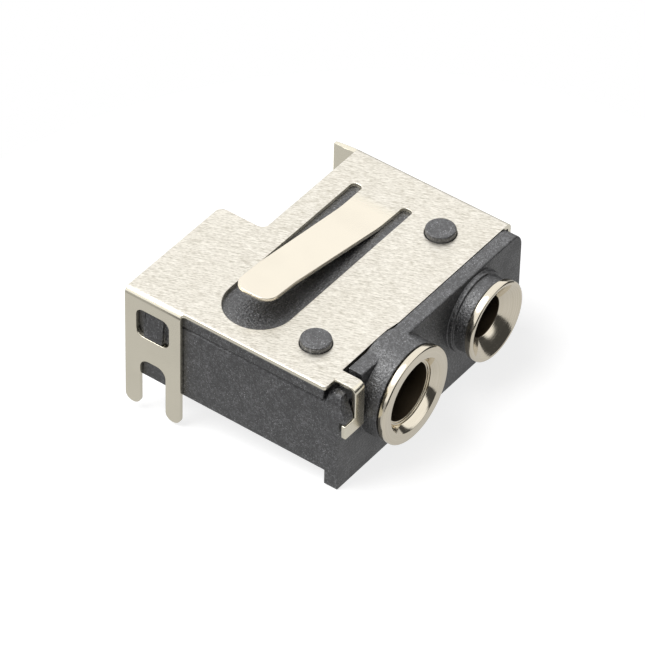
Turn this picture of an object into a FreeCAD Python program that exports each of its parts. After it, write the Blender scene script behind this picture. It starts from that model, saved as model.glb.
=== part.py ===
import FreeCAD, Part
import math
import os
import Sketcher
from FreeCAD import Vector

# Twin audio socket for a circuit board: a large socket for 3.5 mm plugs beside a small one for
# 2.5 mm plugs. Millimetres. X runs across the two sockets, from the large one to the small one,
# Y runs back from the front face, and Z runs up from the board.
# The plugs go in along +Y. The sketches below measure from the near front corner of the housing
# at board level, and every finished piece is then placed so that the origin lies on the large
# socket's axis, in the plane of the front face.

doc = FreeCAD.newDocument("twin_audio_socket")
sheet = doc.addObject("Spreadsheet::Sheet", "Dim")

# Driving dimensions: name, size in millimetres (angles in degrees), what it is
SIZES = [
    # moulded housing and lid
    ("housing_width", 17.15, "housing across both sockets"),
    ("large_depth", 14.25, "housing front to back behind the large socket"),
    ("small_depth", 11.4, "housing front to back behind the small socket"),
    ("step_across", 8.35, "where the back of the housing steps forward"),
    ("lid_scoop", 0.47, "how deep the large barrel reaches up into the lid"),
    ("lid_thickness", 0.75, "lid over the contact chambers"),
    ("lid_front", 1.12, "front face to the front end of the lid"),
    ("lid_chamfer", 0.16, "slope along the top edge of the lid"),
    ("seam_groove", 0.09, "depth of the rebate along the seam"),
    ("rim_depth", 0.90, "front rim, front to back"),
    ("rim_gap", 0.36, "hook strip to the near end of the front rim"),
    ("rim_drop", 0.03, "rim top below the plate top"),
    ("rim_far", 0.12, "front wall's far end beyond the housing's side"),
    ("rim_corner", 0.98, "round of the rim's far top corner"),
    ("lip_drop", 1.02, "front lip that hangs over the board edge"),
    ("lip_depth", 0.90, "front lip, front to back"),
    ("lip_short", 0.6, "far end of the lip inside the housing's side"),
    ("block_drop", 0.43, "plate top to the top of the corner block"),
    ("block_in", 0.31, "slope along the near top edge of the corner block, across"),
    ("block_down", 0.53, "that slope's height"),
    ("block_gap", 0.06, "corner block to the hook strip"),
    ("edge_round", 0.12, "round of the moulded outer edges"),
    ("fit_gap", 0.03, "gap between assembled pieces"),
    # sockets
    ("large_across", 4.93, "near side to the axis of the large socket"),
    ("socket_pitch", 7.70, "axis to axis"),
    ("socket_height", 3.37, "board to both axes"),
    ("front_reach", 1.64, "front face to the mouth of both sockets"),
    ("large_collar", 3.02, "radius of the moulded collar, large socket"),
    ("small_collar", 2.34, "radius of the moulded collar, small socket"),
    ("small_root", 2.52, "radius of the step at the foot of the small collar"),
    ("small_root_reach", 0.3, "how far that step stands out"),
    ("large_ring", 3.02, "radius of the metal ring, large socket"),
    ("small_ring", 2.50, "radius of the metal ring, small socket"),
    ("large_ring_thick", 0.40, "metal ring along the axis, large socket"),
    ("small_ring_thick", 0.44, "metal ring along the axis, small socket"),
    ("ring_groove", 0.12, "groove between the collar and the ring"),
    ("groove_depth", 0.22, "how deep that groove goes in"),
    ("large_bore", 1.80, "bore radius for a 3.5 mm plug"),
    ("small_bore", 1.29, "bore radius for a 2.5 mm plug"),
    ("large_mouth", 2.34, "radius of the large ring's lead-in cone at its face"),
    ("small_mouth", 2.30, "radius of the small ring's lead-in cone at its face"),
    ("large_mouth_depth", 0.61, "depth of that cone and the fine steps inside it"),
    ("mouth_step", 0.09, "width of each of the two fine steps"),
    ("mouth_step_depth", 0.08, "depth of each of them"),
    ("small_mouth_depth", 0.80, "depth of the lead-in cone"),
    ("barrel_wall", 0.42, "wall of each turned barrel"),
    ("barrel_length", 4.4, "mouth to the inner end of each barrel"),
    # contact chambers
    ("outer_wall", 1.1, "side walls of the housing"),
    ("back_wall", 0.9, "back walls of the housing"),
    ("middle_wall", 0.75, "wall between the two chambers"),
    ("floor", 0.85, "floor of the chambers"),
    ("front_wall", 2.1, "front wall round the barrels"),
    # folded shield
    ("sheet", 0.28, "thickness of the shield's sheet"),
    ("bend", 0.42, "outer radius of its bends"),
    ("side_gap", 0.02, "shield to the sides of the housing"),
    ("plate_front", 0.94, "front face to the front edge of the plate"),
    ("plate_jog", 0.14, "plate set back further beside the large collar"),
    ("jog_across", 5.9, "where that set-back starts to run out"),
    ("jog_run", 0.8, "width over which it runs out"),
    ("plate_edge_out", 0.06, "near edge of the plate beyond the housing's side"),
    ("plate_back", 11.55, "front face to the back edge of the plate"),
    ("tail_back", 14.64, "front face to the back edge of its extension"),
    ("tail_across", 8.4, "far edge of that extension"),
    ("tab_length", 3.90, "each leg tab, front to back"),
    ("far_tab_back", 13.2, "back edge of the far leg tab"),
    ("far_tab_drop", 0.42, "fall of the far leg tab's top behind the plate"),
    ("leg_reach", 2.15, "legs below the top of the board"),
    ("leg_width", 1.05, "each leg"),
    ("leg_arch", 1.4, "board to the top of the arch between two legs"),
    ("window_length", 2.3, "window in each leg tab, front to back"),
    ("window_low", 3.12, "board to the window's lower edge"),
    ("window_high", 5.08, "board to the window's upper edge"),
    ("window_corner", 0.5, "round of the window's corners"),
    ("far_skirt", 1.6, "depth of the skirt along the far side"),
    ("corner_round", 0.45, "round of the plate's outer corners"),
    ("relief", 0.2, "round where the plate's near edge meets the leg tab"),
    ("slot_start", 1.10, "near end of the slot round the finger"),
    ("slot_end", 14.74, "far end of that slot"),
    ("slot_front", 5.78, "front edge of the slot"),
    ("slot_back", 10.00, "back edge of the slot"),
    ("slot_width", 0.70, "width of each arm of the slot"),
    ("slot_corner", 0.25, "round of the arms' ends"),
    ("finger_front", 6.50, "front edge of the spring finger at its root"),
    ("finger_taper", 0.26, "how far that edge has moved in at the tip"),
    ("finger_corner", 0.85, "round of the two corners of the tip"),
    ("finger_tip", 2.48, "near end of the spring finger"),
    ("finger_lift", 1.24, "rise of the finger at its tip"),
    ("finger_root", 12.6, "near side to where the finger starts to rise"),
    ("finger_knee", 4.9, "near side to where its rise levels off"),
    ("finger_knee_lift", 1.12, "rise of the finger there"),
    ("finger_bend", 8.0, "radius of the finger's bend at its root"),
    ("hook_reach", 0.48, "front face to the outer face of the hook strip"),
    ("hook_width", 0.86, "hook strip"),
    ("hook_clear", 0.22, "hook strip to the large collar"),
    ("hook_low", 3.06, "board to the lower edge of the hook's foot"),
    ("hook_foot", 0.94, "height of the foot"),
    ("foot_out", 0.07, "near end of the foot beyond the housing's side"),
    ("peg", 0.90, "radius of the two pegs"),
    ("peg_rise", 0.36, "pegs above the plate"),
    ("peg_near", 2.56, "near side to the near peg"),
    ("peg_far", 14.24, "near side to the far peg"),
    ("peg_back", 3.53, "front face to both pegs"),
    ("peg_round", 0.12, "round of the pegs' tops"),
    # latch wedges seen through the windows
    ("latch_length", 1.3, "latch wedge, front to back"),
    # contact springs
    ("strip", 0.2, "thickness of the contact strips"),
    ("strip_height", 1.5, "height of the contact strips"),
    ("tail_width", 0.8, "each solder tail, front to back"),
    ("tail_reach", 1.25, "solder tails below the top of the board"),
    ("large_tip_at", 10.2, "front face to the large tip contact"),
    ("large_ring_at", 6.6, "front face to the large ring contact"),
    ("small_tip_at", 8.0, "front face to the small tip contact"),
    ("small_ring_at", 5.2, "front face to the small ring contact"),
    ("large_stand_off", 2.35, "large axis to the inner face of its springs' roots"),
    ("small_stand_off", 1.95, "small axis to the inner face of its springs' roots"),
    ("press_in", 0.35, "how far each contact reaches inside the plug's outline"),
    # heights that follow from the sizes above
    ("seam_height", "=socket_height + large_bore + barrel_wall - lid_scoop", "board to the seam"),
    ("plate_top", "=seam_height + lid_thickness + sheet", "board to the top of the plate"),
]
for row, (alias, value, note) in enumerate(SIZES, start=1):
    sheet.set(f"A{row}", note)
    sheet.set(f"B{row}", str(value))
    sheet.setAlias(f"B{row}", alias)
doc.recompute()


def named(text):
    """The expression with each driving dimension's name written as the sheet's cell."""
    words = {alias for alias, value, note in SIZES}
    out, word = "", ""
    for sign in text + " ":
        if sign.isalnum() or sign == "_":
            word += sign
            continue
        out += f"Dim.{word}" if word in words else word
        out, word = out + sign, ""
    return out.strip()


def size(text):
    """The number that an expression of driving dimensions comes to, in millimetres."""
    result = sheet.evalExpression(named(text))
    return float(getattr(result, "Value", result))


def new_body(label):
    body = doc.addObject("PartDesign::Body", label)
    body.Label = label
    return body


def new_sketch(body, name, plane, offset="0"):
    """A sketch on one of the body's own planes, moved along that plane's normal."""
    sketch = body.newObject("Sketcher::SketchObject", f"{body.Name}_{name}_sketch")
    support = [f for f in body.Origin.OriginFeatures if f.Role == plane][0]
    sketch.AttachmentSupport = [(support, "")]
    sketch.MapMode = "FlatFace"
    sketch.setExpression(".AttachmentOffset.Base.z", named(offset))
    return sketch


def fix(sketch, kind, element, point, text):
    """One constraint of the sketch, driven by an expression."""
    if kind == "Radius":
        index = sketch.addConstraint(Sketcher.Constraint(kind, element, size(text)))
    else:
        index = sketch.addConstraint(Sketcher.Constraint(kind, element, point, size(text)))
    sketch.setExpression(f"Constraints[{index}]", named(text))


def outline(sketch, points):
    """A closed outline of straight lines, each corner held by two dimensions."""
    start = sketch.GeometryCount
    corners = [Vector(size(across), size(along), 0) for across, along in points]
    for index, corner in enumerate(corners):
        following = corners[(index + 1) % len(corners)]
        sketch.addGeometry(Part.LineSegment(corner, following), False)
    for index in range(len(points)):
        after = start + (index + 1) % len(points)
        sketch.addConstraint(Sketcher.Constraint("Coincident", start + index, 2, after, 1))
    for index, (across, along) in enumerate(points):
        fix(sketch, "DistanceX", start + index, 1, across)
        fix(sketch, "DistanceY", start + index, 1, along)


def rectangle(sketch, low_x, low_y, high_x, high_y):
    outline(sketch, [(low_x, low_y), (high_x, low_y), (high_x, high_y), (low_x, high_y)])


def circle(sketch, across, along, radius):
    centre = Vector(size(across), size(along), 0)
    index = sketch.addGeometry(Part.Circle(centre, Vector(0, 0, 1), size(radius)), False)
    fix(sketch, "DistanceX", index, 3, across)
    fix(sketch, "DistanceY", index, 3, along)
    fix(sketch, "Radius", index, 0, radius)


def pad(body, sketch, length, name, back=False):
    feature = body.newObject("PartDesign::Pad", f"{body.Name}_{name}")
    feature.Profile = sketch
    feature.setExpression("Length", named(length))
    feature.Reversed = back
    sketch.Visibility = False
    doc.recompute()
    return feature


def pocket(body, sketch, length, name, back=False):
    """A cut from the sketch; it must take material away."""
    before = body.Shape.Volume
    feature = body.newObject("PartDesign::Pocket", f"{body.Name}_{name}")
    feature.Profile = sketch
    feature.setExpression("Length", named(length))
    feature.Reversed = back
    doc.recompute()
    if body.Shape.Volume > before - 1e-6:
        raise ValueError(f"{feature.Name} cuts nothing")
    return feature


def dress(body, kind, name, amount, wanted):
    """A fillet or chamfer on the edges that the wanted test picks."""
    base = body.Tip
    names = [f"Edge{i}" for i, edge in enumerate(base.Shape.Edges, start=1) if wanted(edge)]
    if not names:
        raise ValueError(f"{name} finds no edge")
    feature = body.newObject(f"PartDesign::{kind}", f"{body.Name}_{name}")
    feature.Base = (base, names)
    feature.setExpression("Radius" if kind == "Fillet" else "Size", named(amount))
    doc.recompute()
    return feature


def near(value, text, slack=1e-4):
    return abs(value - size(text)) < slack


def runs_along(edge, axis):
    """A straight edge along the axis X, Y or Z."""
    if not isinstance(edge.Curve, Part.Line):
        return False
    direction = edge.Curve.Direction
    return abs(abs(getattr(direction, axis)) - 1) < 1e-6


PLATE_TOP = "plate_top"
SMALL_ACROSS = "(large_across + socket_pitch)"
HOOK_FAR = "(large_across - large_collar - hook_clear)"
HOOK_NEAR = f"({HOOK_FAR} - hook_width)"
NEAR_TAB_FRONT = "(tail_back - tab_length)"
FAR_TAB_FRONT = "(far_tab_back - tab_length)"
LARGE_BARREL = "(large_bore + barrel_wall)"
SMALL_BARREL = "(small_bore + barrel_wall)"
TAB_MIDDLE = f"({NEAR_TAB_FRONT} + tab_length / 2)"
TERMINAL_BEND = "(front_wall + 4 * tail_width)"
BLOCK_TOP = "(plate_top - block_drop)"
SNAP_LOW = "(hook_low + hook_foot + fit_gap)"

# Where the contact strips run. Each is a line of points seen from above. The tip and ring
# springs bow in to the plug's outline; the switch leaf behind each tip spring touches it.
LARGE_BACK = "(large_depth - back_wall - fit_gap)"
SMALL_BACK = "(small_depth - back_wall - fit_gap)"


def bowed(side, axis, bore, stand_off, at, back):
    """A spring's line: straight from its root, in to the plug, and out again to a free end."""
    sign = "-" if side == "near" else "+"
    thick = " - strip" if side == "near" else ""
    return [
        (f"{axis} {sign} {stand_off}{thick}", back),
        (f"{axis} {sign} {stand_off}{thick}", f"{at} + 1.6"),
        (f"{axis} {sign} ({bore} - press_in){thick}", f"{at} + strip"),
        (f"{axis} {sign} ({bore} - press_in){thick}", f"{at} - strip"),
        (f"{axis} {sign} ({bore} + strip){thick}", f"{at} - 1.1")]


def leaf(axis, stand_off, at, back):
    """A switch leaf's line: straight, with its free end bent in to the tip spring."""
    out = f"({stand_off} + 3 * strip)"
    return [
        (f"{axis} - {out} - strip", back), (f"{axis} - {out} - strip", f"{at} + 2.4"),
        (f"{axis} - {stand_off} - 2 * strip - fit_gap", f"{at} + 1.9"),
        (f"{axis} - {stand_off} - 2 * strip - fit_gap", f"{at} + 1.65")]


LARGE_OFF = "large_stand_off"
SMALL_OFF = "small_stand_off"
SPRINGS = [
    ("large_tip_spring", bowed("near", "large_across", "large_bore", LARGE_OFF, "large_tip_at",
                               LARGE_BACK), LARGE_BACK),
    ("large_tip_switch", leaf("large_across", LARGE_OFF, "large_tip_at", LARGE_BACK), LARGE_BACK),
    ("large_ring_spring", bowed("far", "large_across", "large_bore", LARGE_OFF, "large_ring_at",
                                f"{LARGE_BACK} - tail_width"), f"{LARGE_BACK} - tail_width"),
    ("small_tip_spring", bowed("near", SMALL_ACROSS, "small_bore", SMALL_OFF, "small_tip_at",
                               SMALL_BACK), SMALL_BACK),
    ("small_tip_switch", leaf(SMALL_ACROSS, SMALL_OFF, "small_tip_at", SMALL_BACK), SMALL_BACK),
    ("small_ring_spring", bowed("far", SMALL_ACROSS, "small_bore", SMALL_OFF, "small_ring_at",
                                f"{SMALL_BACK} - tail_width"), f"{SMALL_BACK} - tail_width"),
]
SPRINGS = [(label, points, points[0][0], back) for label, points, back in SPRINGS]
TAILS = [(label, across, back) for label, points, across, back in SPRINGS]


# Housing: one moulding with two chambers open at the top, a front wall with two collars, a rim
# that ends the lid and the plate, a lip that hangs over the board's edge, and a corner block
housing = new_body("housing")
plan = new_sketch(housing, "plan", "XY_Plane")
outline(plan, [
    ("0", "0"), ("housing_width", "0"), ("housing_width", "small_depth"),
    ("step_across", "small_depth"), ("step_across", "large_depth"), ("0", "large_depth")])
pad(housing, plan, "seam_height", "walls")

# The front wall rises past the seam as the rim, which stops short of the corner block
front = new_sketch(housing, "front", "XZ_Plane", "-rim_depth")
outline(front, [
    (f"{HOOK_FAR} + rim_gap", "seam_height - edge_round"), ("housing_width", "seam_height - edge_round"),
    ("housing_width", "0"), ("housing_width + rim_far", "0"),
    ("housing_width + rim_far", f"{PLATE_TOP} - rim_drop"),
    (f"{HOOK_FAR} + rim_gap", f"{PLATE_TOP} - rim_drop")])
pad(housing, front, "rim_depth", "rim")
lip = new_sketch(housing, "lip", "XY_Plane")
rectangle(lip, "0", "0", "housing_width - lip_short", "lip_depth")
pad(housing, lip, "lip_drop", "lip", back=True)

# The block's front slopes out to a snap nose, and the hook's foot catches under it
block = new_sketch(housing, "block", "YZ_Plane")
outline(block, [
    ("rim_depth", "seam_height - edge_round"), ("rim_depth", BLOCK_TOP), ("edge_round", BLOCK_TOP),
    ("-hook_reach + sheet / 4", f"{SNAP_LOW} + sheet"), ("-hook_reach + sheet / 4", SNAP_LOW),
    ("edge_round", SNAP_LOW), ("edge_round", "seam_height - edge_round")])
pad(housing, block, f"{HOOK_NEAR} - block_gap", "corner_block")
slope = new_sketch(housing, "block_slope", "XZ_Plane", "hook_reach")
outline(slope, [
    ("-edge_round", f"{BLOCK_TOP} - block_down"), ("0", f"{BLOCK_TOP} - block_down"),
    ("block_in", BLOCK_TOP), ("block_in", f"{BLOCK_TOP} + edge_round"),
    ("-edge_round", f"{BLOCK_TOP} + edge_round")])
pocket(housing, slope, "hook_reach + rim_depth", "block_slope")

# Collars, with the small one's stepped foot
for side, across, radius, ring in (
        ("large", "large_across", "large_collar", "large_ring_thick"),
        ("small", SMALL_ACROSS, "small_collar", "small_ring_thick")):
    collar = new_sketch(housing, f"{side}_collar", "XZ_Plane", "-rim_depth")
    circle(collar, across, "socket_height", radius)
    pad(housing, collar, f"rim_depth + front_reach - {ring} - ring_groove", f"{side}_collar")
foot = new_sketch(housing, "small_foot", "XZ_Plane", "-rim_depth")
circle(foot, SMALL_ACROSS, "socket_height", "small_root")
pad(housing, foot, "rim_depth + small_root_reach", "small_foot")

# Chambers, open at the top under the lid
chambers = new_sketch(housing, "chambers", "XY_Plane", "seam_height")
rectangle(chambers, "outer_wall", "front_wall",
          "step_across - middle_wall", "large_depth - back_wall")
rectangle(chambers, "step_across", "front_wall",
          "housing_width - outer_wall", "small_depth - back_wall")
pocket(housing, chambers, "seam_height - floor", "chambers")

# Round holes for the two barrels, which scoop the chamber's floor where a barrel lies lower
for side, across, barrel in (("large", "large_across", LARGE_BARREL),
                             ("small", SMALL_ACROSS, SMALL_BARREL)):
    hole = new_sketch(housing, f"{side}_hole", "XZ_Plane", "front_reach")
    circle(hole, across, "socket_height", f"{barrel} + fit_gap")
    pocket(housing, hole, "barrel_length + fit_gap", f"{side}_hole")

# Latch wedge in the window of the near leg tab: its foot is flush with the tab's face
wedge = new_sketch(housing, "latch", "XZ_Plane", f"-{TAB_MIDDLE} + latch_length / 2")
outline(wedge, [
    ("edge_round", "window_low + fit_gap"), ("-side_gap - sheet", "window_low + fit_gap"),
    ("-side_gap - sheet", "window_low + sheet"), ("0", "window_high - fit_gap"),
    ("edge_round", "window_high - fit_gap")])
pad(housing, wedge, "latch_length", "latch", back=True)

# Rounded edges where the moulding shows: the rim's far end, the front face's top edges,
# the collars' front edges and the upright corners
dress(housing, "Fillet", "rim_corner", "rim_corner", lambda e: (
    runs_along(e, "y") and near(e.CenterOfMass.x, "housing_width + rim_far")
    and near(e.CenterOfMass.z, f"{PLATE_TOP} - rim_drop")))
dress(housing, "Fillet", "upright_corners", "edge_round * 2", lambda e: (
    runs_along(e, "z") and e.Length > size("seam_height") / 2
    and e.CenterOfMass.y > size("small_depth") - 1e-3
    and (near(e.CenterOfMass.x, "0") or near(e.CenterOfMass.x, "housing_width"))))
dress(housing, "Fillet", "rim_front_edge", "edge_round", lambda e: (
    runs_along(e, "x") and near(e.CenterOfMass.y, "0")
    and near(e.CenterOfMass.z, f"{PLATE_TOP} - rim_drop")))

# A rebate under the lid's near edge, which shows as a dark line along the seam
rebate = new_sketch(housing, "seam_rebate", "YZ_Plane", "-seam_groove")
rectangle(rebate, "rim_depth", "seam_height - 1.5 * seam_groove",
          "large_depth + edge_round", "seam_height")
pocket(housing, rebate, "2 * seam_groove", "seam_rebate", back=True)

# Slots in the floor that the solder tails pass through, closed round them but for the fit
for label, across, back in TAILS:
    slot = new_sketch(housing, f"{label}_slot", "XY_Plane")
    rectangle(slot, f"{across} - fit_gap", f"{back} - tail_width - fit_gap",
              f"{across} + strip + fit_gap", f"{back} + fit_gap")
    pocket(housing, slot, "floor + fit_gap", f"{label}_slot", back=True)
for side, across in (("large", "large_across"), ("small", SMALL_ACROSS)):
    slot = new_sketch(housing, f"{side}_terminal_slot", "XY_Plane")
    rectangle(slot, f"{across} - tail_width / 2 - fit_gap", f"{TERMINAL_BEND} - fit_gap",
              f"{across} + tail_width / 2 + fit_gap", f"{TERMINAL_BEND} + strip + fit_gap")
    pocket(housing, slot, "floor + fit_gap", f"{side}_terminal_slot", back=True)

# A groove in the floor for a sleeve terminal that lies lower than the floor
for side, across, barrel in (("large", "large_across", LARGE_BARREL),
                             ("small", SMALL_ACROSS, SMALL_BARREL)):
    strip_under = f"socket_height - {barrel} - strip - 2 * fit_gap"
    if size(strip_under) < size("floor"):
        groove = new_sketch(housing, f"{side}_terminal_groove", "XY_Plane", "floor")
        rectangle(groove, f"{across} - tail_width / 2 - fit_gap", "front_wall",
                  f"{across} + tail_width / 2 + fit_gap", f"{TERMINAL_BEND} + strip + fit_gap")
        pocket(housing, groove, f"floor - ({strip_under})", f"{side}_terminal_groove")


# Lid: a thin moulding over both chambers, with the two pegs that hold the shield
lid = new_body("lid")
plan = new_sketch(lid, "plan", "XY_Plane", "seam_height")
outline(plan, [
    ("0", "lid_front"), ("housing_width", "lid_front"), ("housing_width", "small_depth"),
    ("step_across", "small_depth"), ("step_across", "large_depth"), ("0", "large_depth")])
pad(lid, plan, "lid_thickness", "plate")
dress(lid, "Chamfer", "top_edges", "lid_chamfer", lambda e: (
    runs_along(e, "y") and near(e.CenterOfMass.z, "seam_height + lid_thickness")
    and (near(e.CenterOfMass.x, "0") or near(e.CenterOfMass.x, "housing_width"))))
# The lid's underside is scooped out over a barrel that stands above the seam
for side, across, radius in (("large", "large_across", LARGE_BARREL),
                             ("small", SMALL_ACROSS, SMALL_BARREL)):
    if size(f"socket_height + {radius} + 2 * fit_gap") > size("seam_height"):
        scoop = new_sketch(lid, f"{side}_scoop", "XZ_Plane", "-lid_front + fit_gap")
        circle(scoop, across, "socket_height", f"{radius} + 2 * fit_gap")
        pocket(lid, scoop, "barrel_length - front_reach - lid_front + 2 * fit_gap",
               f"{side}_scoop")
for side, across in (("near", "peg_near"), ("far", "peg_far")):
    peg = new_sketch(lid, f"{side}_peg", "XY_Plane", "seam_height + lid_thickness - fit_gap")
    circle(peg, across, "peg_back", "peg")
    pad(lid, peg, "fit_gap + sheet + peg_rise", f"{side}_peg")
dress(lid, "Fillet", "peg_tops", "peg_round", lambda e: (
    isinstance(e.Curve, Part.Circle) and near(e.CenterOfMass.z, f"{PLATE_TOP} + peg_rise")))


# Shield: one piece of sheet, folded over both sides, with a U slot round a raised finger,
# a leg tab at the back of each side and a hook over the front face
shield = new_body("shield")
section = new_sketch(shield, "section", "XZ_Plane", "-plate_front")
outline(section, [
    ("-side_gap - sheet", "-leg_reach"), ("-side_gap", "-leg_reach"),
    ("-side_gap", f"{PLATE_TOP} - sheet"), ("housing_width + side_gap", f"{PLATE_TOP} - sheet"),
    ("housing_width + side_gap", "-leg_reach"),
    ("housing_width + side_gap + sheet", "-leg_reach"),
    ("housing_width + side_gap + sheet", PLATE_TOP), ("-side_gap - sheet", PLATE_TOP)])
pad(shield, section, "tail_back - plate_front", "folded_sheet", back=True)
dress(shield, "Fillet", "outer_bends", "bend", lambda e: (
    runs_along(e, "y") and near(e.CenterOfMass.z, PLATE_TOP)))
dress(shield, "Fillet", "inner_bends", "bend - sheet", lambda e: (
    runs_along(e, "y") and near(e.CenterOfMass.z, f"{PLATE_TOP} - sheet")))

# Cuts from above give the plate's outline, the slot and the peg holes
ABOVE = f"{PLATE_TOP} + sheet"
DEEP = f"{PLATE_TOP} + leg_reach + 2 * sheet"
SLOT_ROOT = "(slot_end - 1.5 * slot_width)"
SLOT_MIDDLE = "((slot_front + slot_back) / 2)"
SLOT_RADIUS = "((slot_back - slot_front) / 2)"


def cut_plan(name, low_x, low_y, high_x, high_y, depth=DEEP):
    sketch = new_sketch(shield, name, "XY_Plane", ABOVE)
    rectangle(sketch, low_x, low_y, high_x, high_y)
    pocket(shield, sketch, depth, name)


def cut_hole(name, across, along, radius):
    sketch = new_sketch(shield, name, "XY_Plane", ABOVE)
    circle(sketch, across, along, radius)
    pocket(shield, sketch, "3 * sheet", name)


FAR_OUT = "(housing_width + side_gap + sheet)"
cut_plan("near_edge", "-2 * sheet - side_gap", "0", "-plate_edge_out", NEAR_TAB_FRONT)
jog = new_sketch(shield, "jog", "XY_Plane", ABOVE)
outline(jog, [(HOOK_FAR, "0"), ("jog_across + jog_run", "0"),
              ("jog_across + jog_run", "plate_front"), ("jog_across", "plate_front + plate_jog"),
              (HOOK_FAR, "plate_front + plate_jog")])
pocket(shield, jog, "3 * sheet", "jog")
cut_plan("back_edge", "tail_across", "plate_back", f"{FAR_OUT} - bend", "tail_back + sheet")
cut_plan("far_back", f"{FAR_OUT} - bend - sheet", "far_tab_back", f"{FAR_OUT} + sheet",
         "tail_back + sheet")
cut_plan("slot", f"slot_start + {SLOT_RADIUS}", "slot_front", SLOT_ROOT, "slot_back", "3 * sheet")
cut_hole("slot_end", f"slot_start + {SLOT_RADIUS}", SLOT_MIDDLE, SLOT_RADIUS)
for side, edge in (("front", "slot_front"), ("back", "slot_back - slot_width")):
    cut_plan(f"{side}_arm", f"{SLOT_ROOT} - sheet", edge, "slot_end", f"{edge} + slot_width",
             "3 * sheet")
for side, across in (("near", "peg_near"), ("far", "peg_far")):
    cut_hole(f"{side}_peg_hole", across, "peg_back", "peg + fit_gap")


# Cuts from the sides give each tab its two legs, the near tab its window and the far skirt
def cut_side(name, side, low_y, low_z, high_y, high_z, depth="3 * sheet"):
    at = "-3 * sheet" if side == "near" else "housing_width - sheet"
    sketch = new_sketch(shield, name, "YZ_Plane", at)
    rectangle(sketch, low_y, low_z, high_y, high_z)
    pocket(shield, sketch, depth, name, back=True)


for side, tab_front, tab_back in (("near", NEAR_TAB_FRONT, "tail_back"),
                                  ("far", FAR_TAB_FRONT, "far_tab_back")):
    cut_side(f"{side}_legs", side, f"{tab_front} + leg_width", "-leg_reach - sheet",
             f"{tab_back} - leg_width", "leg_arch")
cut_side("window", "near", f"{TAB_MIDDLE} - window_length / 2", "window_low",
         f"{TAB_MIDDLE} + window_length / 2", "window_high")
cut_side("far_skirt", "far", "0", "-leg_reach - sheet", FAR_TAB_FRONT,
         f"{PLATE_TOP} - far_skirt")
cut_side("near_skirt", "near", "0", "-leg_reach - sheet", NEAR_TAB_FRONT, f"{PLATE_TOP} - sheet",
         "3 * sheet + bend - sheet - side_gap")

fall = new_sketch(shield, "far_tab_top", "YZ_Plane", "housing_width - sheet")
outline(fall, [("plate_back", f"{PLATE_TOP} + sheet"), ("plate_back", f"{PLATE_TOP} - sheet / 2"),
               ("far_tab_back + sheet", f"{PLATE_TOP} - far_tab_drop"),
               ("far_tab_back + sheet", f"{PLATE_TOP} + sheet")])
pocket(shield, fall, "3 * sheet", "far_tab_top", back=True)

across_sheet = lambda e: runs_along(e, "x") and e.Length < size("1.5 * sheet")
through_plate = lambda e: runs_along(e, "z") and e.Length < size("1.5 * sheet")
dress(shield, "Fillet", "leg_ends", "leg_width * 0.48", lambda e: (
    across_sheet(e) and near(e.CenterOfMass.z, "-leg_reach")))
dress(shield, "Fillet", "leg_arches", "leg_width * 0.6", lambda e: (
    across_sheet(e) and near(e.CenterOfMass.z, "leg_arch")))
dress(shield, "Fillet", "window_corners", "window_corner", lambda e: (
    across_sheet(e) and e.CenterOfMass.x < 0 and (
        near(e.CenterOfMass.z, "window_low") or near(e.CenterOfMass.z, "window_high"))))
dress(shield, "Fillet", "plate_corners", "corner_round", lambda e: (
    through_plate(e) and near(e.CenterOfMass.x, "tail_across")))
dress(shield, "Fillet", "slot_corners", "slot_corner", lambda e: (
    through_plate(e) and near(e.CenterOfMass.x, "slot_end")))

# The finger springs from the far end of the slot and rises to a rounded tip
finger = new_sketch(shield, "finger", "XZ_Plane", "-finger_front")
outline(finger, [
    (f"{SLOT_ROOT} + sheet", f"{PLATE_TOP} - sheet"), (f"{SLOT_ROOT} + sheet", PLATE_TOP),
    ("finger_root", PLATE_TOP), ("finger_knee", f"{PLATE_TOP} + finger_knee_lift"),
    ("finger_tip", f"{PLATE_TOP} + finger_lift"),
    ("finger_tip", f"{PLATE_TOP} + finger_lift - sheet"),
    ("finger_knee", f"{PLATE_TOP} + finger_knee_lift - sheet"),
    ("finger_root", f"{PLATE_TOP} - sheet")])
pad(shield, finger, "slot_back - slot_width - finger_front", "finger", back=True)
dress(shield, "Fillet", "finger_root_bend", "finger_bend", lambda e: (
    runs_along(e, "y") and near(e.CenterOfMass.x, "finger_root")))
taper = new_sketch(shield, "finger_taper", "XY_Plane", f"{PLATE_TOP} + 2 * finger_lift")
outline(taper, [("finger_tip - sheet", "finger_front - sheet"), ("finger_root", "finger_front - sheet"),
                ("finger_root", "finger_front"), ("finger_tip - sheet", "finger_front + finger_taper")])
pocket(shield, taper, "3 * finger_lift", "finger_taper")
dress(shield, "Fillet", "finger_tip_round", "finger_corner", lambda e: (
    runs_along(e, "z") and near(e.CenterOfMass.x, "finger_tip")))

# The hook: forward off the plate, down over the front face, and a foot that reaches
# back under the corner block's side of the strip
hook = new_sketch(shield, "hook", "YZ_Plane", HOOK_NEAR)
outline(hook, [
    ("plate_front + plate_jog + sheet", f"{PLATE_TOP} - sheet"),
    ("plate_front + plate_jog + sheet", PLATE_TOP), ("-hook_reach", PLATE_TOP),
    ("-hook_reach", "hook_low"), ("-hook_reach + sheet", "hook_low"),
    ("-hook_reach + sheet", f"{PLATE_TOP} - sheet")])
pad(shield, hook, "hook_width", "hook")
dress(shield, "Fillet", "hook_outer_bend", "bend", lambda e: (
    runs_along(e, "x") and near(e.CenterOfMass.y, "-hook_reach")
    and near(e.CenterOfMass.z, PLATE_TOP)))
dress(shield, "Fillet", "hook_inner_bend", "bend - sheet", lambda e: (
    runs_along(e, "x") and near(e.CenterOfMass.y, "-hook_reach + sheet")
    and near(e.CenterOfMass.z, f"{PLATE_TOP} - sheet")))
foot = new_sketch(shield, "hook_foot", "XZ_Plane", "hook_reach - sheet")
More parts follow.
